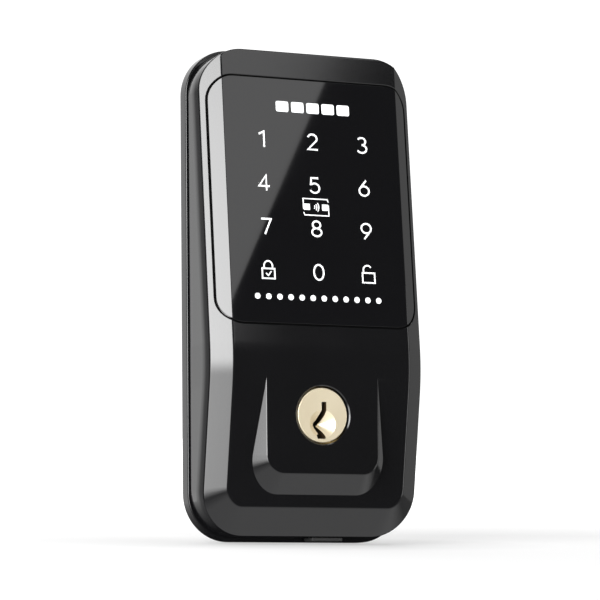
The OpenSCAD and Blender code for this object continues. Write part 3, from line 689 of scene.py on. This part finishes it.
def stroke(bm, points, width):
    """A line of even width through points given in X and Z."""
    edges = []
    ends = [bm.verts.new((x, 0, z)) for x, z in points]
    offsets = []
    for i in range(len(points)):
        before = Vector(points[max(i - 1, 0)])
        after = Vector(points[min(i + 1, len(points) - 1)])
        here = Vector(points[i])
        a = (here - before).normalized() if i else (after - here).normalized()
        b = (after - here).normalized() if i < len(points) - 1 else a
        middle = (a + b).normalized()
        side = Vector((-middle.y, middle.x)) / max(0.5, middle.dot(a))
        offsets.append(side * width / 2)
    for v, offset in zip(ends, offsets):
        v.co += Vector((offset.x, 0, offset.y))
    for v, w in zip(ends, ends[1:]):
        edges.append(bm.edges.new((v, w)))
    other = bmesh.ops.extrude_edge_only(bm, edges=edges)
    moved = [g for g in other["geom"] if isinstance(g, bmesh.types.BMVert)]
    for v in moved:
        nearest = min(range(len(ends)), key=lambda i: (ends[i].co - v.co).length)
        v.co -= 2 * Vector((offsets[nearest].x, 0, offsets[nearest].y))


def arc(cx, cz, rx, rz, start, end, steps):
    """Points along part of an oval; angles in degrees from +X towards +Z."""
    angles = [math.radians(start + (end - start) * i / steps) for i in range(steps + 1)]
    return [(cx + rx * math.cos(t), cz + rz * math.sin(t)) for t in angles]


symbols = bmesh.new()


def add_symbol(build, x, z):
    """Builds one symbol and lays it on the glass with the others."""
    bm = bmesh.new()
    build(bm)
    lay_on_glass(bm, x, z)
    mesh = bpy.data.meshes.new("symbol")
    bm.to_mesh(mesh)
    bm.free()
    symbols.from_mesh(mesh)
    bpy.data.meshes.remove(mesh)


# The numerals' lines, in half heights h and half widths w round the middle
h = digit_height / 2
w = 0.37 * digit_height
numeral_lines = {
    "1": [[(-0.62 * w, 0.62 * h), (0.3 * w, 0.98 * h), (0.3 * w, -h)]],
    "2": [arc(0, 0.46 * h, 0.84 * w, 0.52 * h, 165, -28, 14)
          + [(-0.86 * w, -0.94 * h), (0.95 * w, -0.94 * h)]],
    "3": [arc(-0.02 * w, 0.50 * h, 0.74 * w, 0.46 * h, 150, -90, 14),
          arc(-0.02 * w, -0.46 * h, 0.88 * w, 0.50 * h, 90, -155, 16)],
    "4": [[(0.36 * w, -h), (0.36 * w, 0.92 * h), (-0.98 * w, -0.44 * h), (0.98 * w, -0.44 * h)]],
    "5": [[(0.74 * w, 0.92 * h), (-0.56 * w, 0.92 * h), (-0.70 * w, 0.12 * h)]
          + arc(0, -0.36 * h, 0.88 * w, 0.60 * h, 125, -155, 18)],
    "6": [[(0.42 * w, h)] + arc(0, -0.36 * h, 0.90 * w, 0.60 * h, 150, 185, 4)
          + arc(0, -0.36 * h, 0.90 * w, 0.60 * h, 195, 500, 22)],
    "7": [[(-0.90 * w, 0.92 * h), (0.88 * w, 0.92 * h), (-0.30 * w, -h)]],
    "8": [arc(0, 0.49 * h, 0.72 * w, 0.45 * h, 0, 375, 22),
          arc(0, -0.45 * h, 0.88 * w, 0.50 * h, 0, 375, 22)],
    "9": [[(-0.42 * w, -h)] + arc(0, 0.36 * h, 0.90 * w, 0.60 * h, 330, 365, 4)
          + arc(0, 0.36 * h, 0.90 * w, 0.60 * h, 375, 680, 22)],
    "0": [arc(0, 0, 0.90 * w, 0.95 * h, 0, 375, 26)],
}


def numeral(name):
    """Gives the function that draws a numeral."""
    def build(bm):
        for points in numeral_lines[name]:
            stroke(bm, points, line_width)
    return build


lock_half, lock_low = 1.7 * MM, -2.1 * MM
lock_top = lock_low + 2.5 * MM
lock_line = 0.4 * MM
hoop_r = 1.15 * MM
hoop_z = lock_top + 0.75 * MM


def padlock_body(bm):
    """The body that both padlocks share."""
    corners = [(-lock_half, lock_low), (lock_half, lock_low), (lock_half, lock_top), (-lock_half, lock_top)]
    stroke(bm, corners + corners[:2], lock_line)


def closed_padlock(bm):
    """A padlock with both ends of its hoop in the body, and a tick."""
    padlock_body(bm)
    hoop = arc(0, hoop_z, hoop_r, hoop_r, 180, 0, 12)
    stroke(bm, [(-hoop_r, lock_top)] + hoop + [(hoop_r, lock_top)], lock_line)
    tick = [(-0.7 * MM, lock_low + 1.35 * MM), (-0.1 * MM, lock_low + 0.7 * MM),
            (0.8 * MM, lock_low + 1.85 * MM)]
    stroke(bm, tick, 0.32 * MM)


def open_padlock(bm):
    """A padlock whose hoop stands off the body at one end."""
    padlock_body(bm)
    hoop = arc(-0.25 * MM, hoop_z, hoop_r, hoop_r, 180, 35, 12)
    stroke(bm, [(hoop[0][0], lock_top)] + hoop, lock_line)


def card(bm):
    """A card with a chip at each end, three radio arcs, and an outline open at two corners."""
    half_w, half_h, thin, nick = 3.5 * MM, 2.1 * MM, 0.28 * MM, 0.3 * MM
    for side in (1, -1):
        stroke(bm, [(side * half_w, side * (half_h - 0.7 * MM)), (side * (half_w - nick), side * half_h),
                    (-side * half_w, side * half_h), (-side * half_w, -side * 0.6 * MM)], thin)
    for side in (-1, 1):
        bar(bm, 1.7 * MM, 1.6 * MM, 0.1 * MM, x=side * (half_w - 0.95 * MM))
    for i in range(3):
        reach = (0.7 + 0.55 * i) * MM
        stroke(bm, arc(-1.0 * MM, 0, reach, reach, -38, 38, 6), 0.26 * MM)


def level_bar(bm):
    """One bar of the battery level."""
    bar(bm, 3.5 * MM, 2.7 * MM, 0.45 * MM)


def entry_dot(bm):
    """One dot of the row that counts the keys pressed."""
    bar(bm, 1.5 * MM, 1.5 * MM, 0.7 * MM)


column_x = 13.9 * MM
row_z = [35.8 * MM, 46.9 * MM, 58.0 * MM, 69.1 * MM]
bar_pitch, dot_pitch = 4.25, 3.05
for i, name in enumerate("123456789"):
    add_symbol(numeral(name), (i % 3 - 1) * column_x, row_z[3 - i // 3])
add_symbol(numeral("0"), 0, row_z[0])
add_symbol(closed_padlock, -column_x, row_z[0])
add_symbol(open_padlock, column_x, row_z[0])
add_symbol(card, 0.1 * MM, 52.4 * MM)
for i in range(5):
    add_symbol(level_bar, (0.5 + bar_pitch * (i - 2)) * MM, 77.8 * MM)
for i in range(12):
    add_symbol(entry_dot, (-0.4 + dot_pitch * (i - 5.5)) * MM, 29.2 * MM)
for f in symbols.faces:
    if f.normal.y > 0:
        f.normal_flip()
raised = bmesh.ops.extrude_face_region(symbols, geom=symbols.faces[:])
bmesh.ops.translate(symbols, vec=(0, -0.008 * MM, 0),
                    verts=[g for g in raised["geom"] if isinstance(g, bmesh.types.BMVert)])
bmesh.ops.recalc_face_normals(symbols, faces=symbols.faces)
print_layer = own_mesh("printed_symbols", symbols)
ink = finish("white_ink_painted_glow", (0.82, 0.83, 0.83), (0.9, 0.9, 0.9), (0.30, 0.40), fine=5000, bump=0.05)
ink_glow_shader = ink.node_tree.nodes["Principled BSDF"]
# The print also glows faintly blue-white: painted light, as no lamp lies behind it
ink_glow_shader.inputs["Emission Color"].default_value = (0.92, 0.96, 1, 1)
ink_glow_shader.inputs["Emission Strength"].default_value = 0.25
print_layer.data.materials.append(ink)
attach(print_layer, "chassis")

# ---- Back plate ----
# A flat zinc casting in the same paint that screws to the shell's posts from behind. Its rim stands
# up round the shell's back edge, and a rubber gasket behind it lies on the door.

rim_front = -4.15 * MM
bm = rounded_block(plate_half, plate_low.z, plate_high.z, rim_front, plate_high.y, plate_r, 20)
edges = [e for e in bm.edges if e.calc_face_angle(0) > math.radians(60)]
round_off(bm, edges, 0.35 * MM, 3)
plate = own_mesh("back_plate_cast", bm)
rim_in, floor_in = 1.28 * MM, 3 * MM
bm = rounded_block(plate_half - rim_in, plate_low.z + rim_in, plate_high.z - rim_in,
                   rim_front - MM, -3.6 * MM, plate_r - rim_in, 16)
combine(plate, own_mesh("rim_hole", bm), "DIFFERENCE")
bm = rounded_block(plate_half - floor_in, plate_low.z + floor_in, plate_high.z - floor_in,
                   rim_front - MM, -3.0 * MM, plate_r - floor_in, 16)
combine(plate, own_mesh("plate_floor", bm), "DIFFERENCE")
control_low, control_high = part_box("control_board")
for x in (-17 * MM, 17 * MM):
    for z in (control_low.z + 4 * MM, control_high.z - 4 * MM):
        combine(plate, own_mesh("post", rod(x, z, 2.3 * MM, 2.9 * MM, 5.0 * MM)), "UNION")
        combine(plate, own_mesh("post_hole", rod(x, z, 1.0 * MM, 3.2 * MM, 6.0 * MM)), "DIFFERENCE")
for x in (-screw_x, screw_x):
    for z in screw_heights:
        combine(plate, own_mesh("screw_hole", rod(x, z, 1.4 * MM, 0, 6 * MM)), "DIFFERENCE")
        combine(plate, own_mesh("head_seat", rod(x, z, 2.8 * MM, 0, 1.8 * MM, 40)), "DIFFERENCE")
for x in (-bolt_x, bolt_x):
    combine(plate, own_mesh("bolt_hole", rod(x, 0, 4.1 * MM, 0, 6 * MM)), "DIFFERENCE")
combine(plate, own_mesh("cable_hole", rod(-13 * MM, 19 * MM, 5.2 * MM, 0, 6 * MM)), "DIFFERENCE")
combine(plate, own_mesh("cylinder_hole", rod(0, 0, 8.95 * MM, 0, 6 * MM, 64)), "DIFFERENCE")
lobe_w, lobe_h = 9.8 * MM, 16.7 * MM
bm = block((lobe_w, 6 * MM, lobe_h), (0, -3 * MM, lobe_h / 2))
combine(plate, own_mesh("lobe_hole", bm), "DIFFERENCE")
shade_crisp(plate)
recoat(plate, satin_paint)
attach(plate, "chassis")
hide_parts("back_plate")

# ---- Key plug ----
# Turned from pale nickel-brass: a round face with fine turning marks, a broken edge, a dimple below
# the centre that guides the key in, and a stepped keyway broached through it.

plug_low, plug_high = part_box("key_plug")
plug_face = -plug_low.y
plug_r = 6.35 * MM
flange_r = plug_high.x
flange_back = plug_face - 2.5 * MM
dimple_r, dimple_depth = 3.6 * MM, 2.9 * MM
bm = rod(0, 0, plug_r, -plug_high.y, flange_back + 0.2 * MM, 96)
plug = own_mesh("key_plug_turned", bm)
bm = rod(0, 0, flange_r, flange_back, plug_face, 128)
rim_edges = [e for e in bm.edges if all(abs(v.co.y + plug_face) < 1e-7 for v in e.verts)]
round_off(bm, rim_edges, 0.28 * MM, 4)
combine(plug, own_mesh("flange", bm), "UNION")
dimple_front = plug_face + 0.03 * MM
bm = rod(0, -2.2 * MM, 0.05 * MM, dimple_front - dimple_depth, dimple_front, 96, front_r=dimple_r)
combine(plug, own_mesh("dimple", bm), "DIFFERENCE")
keyway = [(-0.25, 3.3), (-0.25, 1.1), (-0.6, 0), (-1.2, -1.2), (-2.2, -2), (-2.2, -2.8), (-1.65, -3.5),
          (-0.95, -4.6), (-1.65, -5.1), (-1.4, -5.9), (0.75, -5.9), (0.85, -5.2), (0.6, -4.4), (0, -3.5),
          (-1.1, -2.65), (-0.4, -2.3), (0.45, -1.3), (0.9, -0.1), (1.05, 1.1), (1.05, 3.3)]
bm = bmesh.new()
corners = [bm.verts.new((x * MM, -plug_face - MM, z * MM)) for x, z in keyway]
bm.faces.new(corners)
round_off(bm, corners, 0.16 * MM, 2, "VERTICES")
deep = bmesh.ops.extrude_face_region(bm, geom=bm.faces[:])
bmesh.ops.translate(bm, vec=(0, 25 * MM, 0),
                    verts=[g for g in deep["geom"] if isinstance(g, bmesh.types.BMVert)])
bmesh.ops.recalc_face_normals(bm, faces=bm.faces)
combine(plug, own_mesh("keyway", bm), "DIFFERENCE")
pin_drop = 1.6 * MM
pin_boxes = [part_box(f"key_pin_{i}") for i in range(1, 6)]
chamber_r = 1.5 * MM
chamber_floor = min(low.z for low, high in pin_boxes) - pin_drop - 0.1 * MM
chamber_h = plug_r + 2 * MM - chamber_floor
for low, high in pin_boxes:
    bm = bmesh.new()
    bmesh.ops.create_cone(bm, cap_ends=True, segments=32, radius1=chamber_r, radius2=chamber_r,
                          depth=chamber_h)
    bmesh.ops.translate(bm, vec=(0, (low.y + high.y) / 2, chamber_floor + chamber_h / 2), verts=bm.verts)
    combine(plug, own_mesh("chamber", bm), "DIFFERENCE")
clip_low, clip_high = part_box("plug_clip")
groove_r = 5.0 * MM
groove = own_mesh("groove", rod(0, 0, plug_r + MM, -clip_high.y, -clip_low.y, 64))
groove_core = own_mesh("groove_core", rod(0, 0, groove_r, -clip_high.y - MM, -clip_low.y + MM, 64))
combine(groove, groove_core, "DIFFERENCE")
combine(plug, groove, "DIFFERENCE")
bm = block((1.7 * MM, 6 * MM, 6.6 * MM), (0, plug_high.y - 2 * MM, 0))
combine(plug, own_mesh("blade_slot", bm), "DIFFERENCE")
shade_crisp(plug, 30)


def turned_metal(name, dark, light, rough):
    """Metal with rings left by turning about the Y axis, and a slow change in tone."""
    material = finish(name, dark, light, rough, metallic=1.0, fine=3000, broad=80, bump=0.03)
    tree = material.node_tree
    place = tree.nodes.new("ShaderNodeTexCoord").outputs["Object"]
    rings = tree.nodes.new("ShaderNodeTexNoise")
    rings.noise_dimensions = "1D"
    rings.inputs["Scale"].default_value = 9000
    rings.inputs["Detail"].default_value = 2
    tree.links.new(length_of(tree, place, (1, 0, 1)), rings.inputs["W"])
    relief = tree.nodes.new("ShaderNodeBump")
    relief.inputs["Strength"].default_value = 0.05
    relief.inputs["Distance"].default_value = 0.02 * MM
    tree.links.new(rings.outputs["Fac"], relief.inputs["Height"])
    shader = tree.nodes["Principled BSDF"]
    tree.links.new(shader.inputs["Normal"].links[0].from_socket, relief.inputs["Normal"])
    tree.links.new(relief.outputs["Normal"], shader.inputs["Normal"])
    return material


plug_brass = turned_metal("pale_brass", (0.66, 0.57, 0.40), (0.74, 0.66, 0.49), (0.30, 0.38))
plug_brass.node_tree.nodes["Principled BSDF"].inputs["Metallic"].default_value = 0.45
# Near-black brown for the keyway's walls: painted shade for the deep narrow slot
keyway_painted_shade = finish("painted_keyway_shade", (0.020, 0.013, 0.006), (0.05, 0.032, 0.014), (0.35, 0.5),
                     fine=1200, bump=0.2)
recoat(plug, plug_brass, keyway_painted_shade)
dress({"plug_brass": plug_brass})
# Faces on the keyway's walls take the painted shade
keyway_reach, keyway_depth = 6.1 * MM, 20 * MM
for face in plug.data.polygons:
    inside = Vector((face.center.x, face.center.z)).length < keyway_reach
    if inside and abs(face.normal.y) < 0.2 and face.center.y < -plug_face + keyway_depth:
        face.material_index = 1
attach(plug, "plug_set")
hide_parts("key_plug")

# ---- Power port flap ----
# A soft rubber flap under the lower edge, moulded in one piece: a thin lid with rounded edges, and
# a tongue on it that plugs the port.

flap_low, flap_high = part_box("port_flap")
flap_t = 0.9 * MM
flap_back = flap_high.y - 0.2 * MM
flap_middle = (flap_low + flap_high) / 2
bm = block((flap_high.x - flap_low.x, flap_back - flap_low.y, flap_t),
           (flap_middle.x, (flap_low.y + flap_back) / 2, flap_low.z + flap_t / 2))
round_off(bm, bm.edges[:], 0.24 * MM, 3)
flap = own_mesh("flap_moulding", bm)
tongue_w, tongue_t, tongue_y = flap_high.x - flap_low.x - 1.2 * MM, 2.4 * MM, -6.85 * MM
bm = block((tongue_w, tongue_t, flap_high.z - flap_low.z - 0.4 * MM),
           (flap_middle.x, tongue_y, flap_middle.z + 0.2 * MM))
round_off(bm, bm.edges[:], 0.2 * MM, 2)
combine(flap, own_mesh("tongue", bm), "UNION")
shade_crisp(flap)
rubber = finish("black_rubber", (0.012, 0.012, 0.012), (0.022, 0.022, 0.022), (0.6, 0.75),
                fine=1800, bump=0.25, specular=0.35)
recoat(flap, rubber)
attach(flap, "port_flap")
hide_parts("port_flap")

# ---- Seals and tape ----
# The housing seal, the door gasket, the cable grommet and the ring round the cylinder's nose are
# the flap's black rubber, pressed in place. A grey foam tape holds the glass in its pocket.

foam = finish("grey_foam_tape", (0.16, 0.16, 0.155), (0.24, 0.24, 0.23), (0.8, 0.9),
              fine=2400, bump=0.5, specular=0.2)
dress({"rubber": rubber, "adhesive": foam})

# ---- Boards and what they carry ----
# Glass-fibre boards under green solder mask, held by small screws. They carry moulded chips and a
# buzzer, lamps behind a frosted guide, a tinned radio and port, aluminium capacitors and ivory
# sockets, and an amber flex and a copper aerial go with them.


def solder_mask(name, dark, light):
    """Green board with faint tracks under the mask."""
    material = finish(name, dark, light, (0.28, 0.42), fine=1500, broad=160, bump=0.04)
    tree = material.node_tree
    turn = tree.nodes.new("ShaderNodeMapping")
    turn.inputs["Rotation"].default_value = (math.radians(90), 0, 0)
    tree.links.new(tree.nodes.new("ShaderNodeTexCoord").outputs["Object"], turn.inputs["Vector"])
    tracks = tree.nodes.new("ShaderNodeTexBrick")
    tracks.inputs["Scale"].default_value = 260
    tracks.inputs["Mortar Size"].default_value = 0.08
    tracks.inputs["Color1"].default_value = (*dark, 1)
    tracks.inputs["Color2"].default_value = (*light, 1)
    tracks.inputs["Mortar"].default_value = (light[0] + 0.01, light[1] + 0.06, light[2] + 0.02, 1)
    tree.links.new(turn.outputs["Vector"], tracks.inputs["Vector"])
    colour = tree.nodes["Principled BSDF"].inputs["Base Color"].links[0].from_node
    tree.links.new(tracks.outputs["Color"], colour.inputs["B"])
    return material


board = solder_mask("green_board", (0.008, 0.06, 0.028), (0.012, 0.085, 0.04))
tin = finish("tinned_steel", (0.55, 0.56, 0.57), (0.68, 0.68, 0.69), (0.25, 0.38), metallic=1.0,
             fine=900, bump=0.08)
moulded = finish("black_moulding", (0.012, 0.012, 0.013), (0.022, 0.022, 0.024), (0.42, 0.55),
                 fine=2200, bump=0.15)
ivory = finish("ivory_moulding", (0.55, 0.51, 0.42), (0.66, 0.62, 0.53), (0.40, 0.52),
               fine=2000, bump=0.1)
film = finish("amber_film", (0.28, 0.13, 0.02), (0.42, 0.22, 0.05), (0.25, 0.35),
              fine=700, broad=220, bump=0.05)
lens = finish("frosted_guide", (0.74, 0.78, 0.80), (0.84, 0.87, 0.88), (0.30, 0.42),
              fine=1200, bump=0.06)
lamp_body = finish("lamp_phosphor", (0.75, 0.68, 0.38), (0.88, 0.82, 0.55), (0.40, 0.5),
                   fine=4000, bump=0.1)
copper = finish("copper_track", (0.48, 0.20, 0.09), (0.66, 0.32, 0.16), (0.28, 0.4), metallic=1.0,
                fine=2500, bump=0.1)
can = turned_metal("aluminium_can", (0.60, 0.61, 0.63), (0.74, 0.75, 0.77), (0.24, 0.34))
dress({"board": board, "chip": moulded, "black_plastic": moulded, "led": lamp_body,
       "clear_guide": lens, "connector": ivory, "flat_cable": film, "tin_shield": tin,
       "can": can, "copper": copper})

# ---- Key cylinder and fixings ----
# The cylinder's body and its key pins are machined brass. Its driver pins, springs, cover and clip,
# and the screws, bolt posts and torque blade, are steel plated against rust.

brass = turned_metal("machined_brass", (0.50, 0.34, 0.12), (0.66, 0.48, 0.20), (0.22, 0.34))
steel = turned_metal("plated_steel", (0.42, 0.42, 0.42), (0.55, 0.55, 0.54), (0.28, 0.42))
dress({"cylinder_brass": brass, "pin_brass": brass, "screw_steel": steel, "post_steel": steel,
       "spring_steel": steel})

bpy.context.view_layer.update()
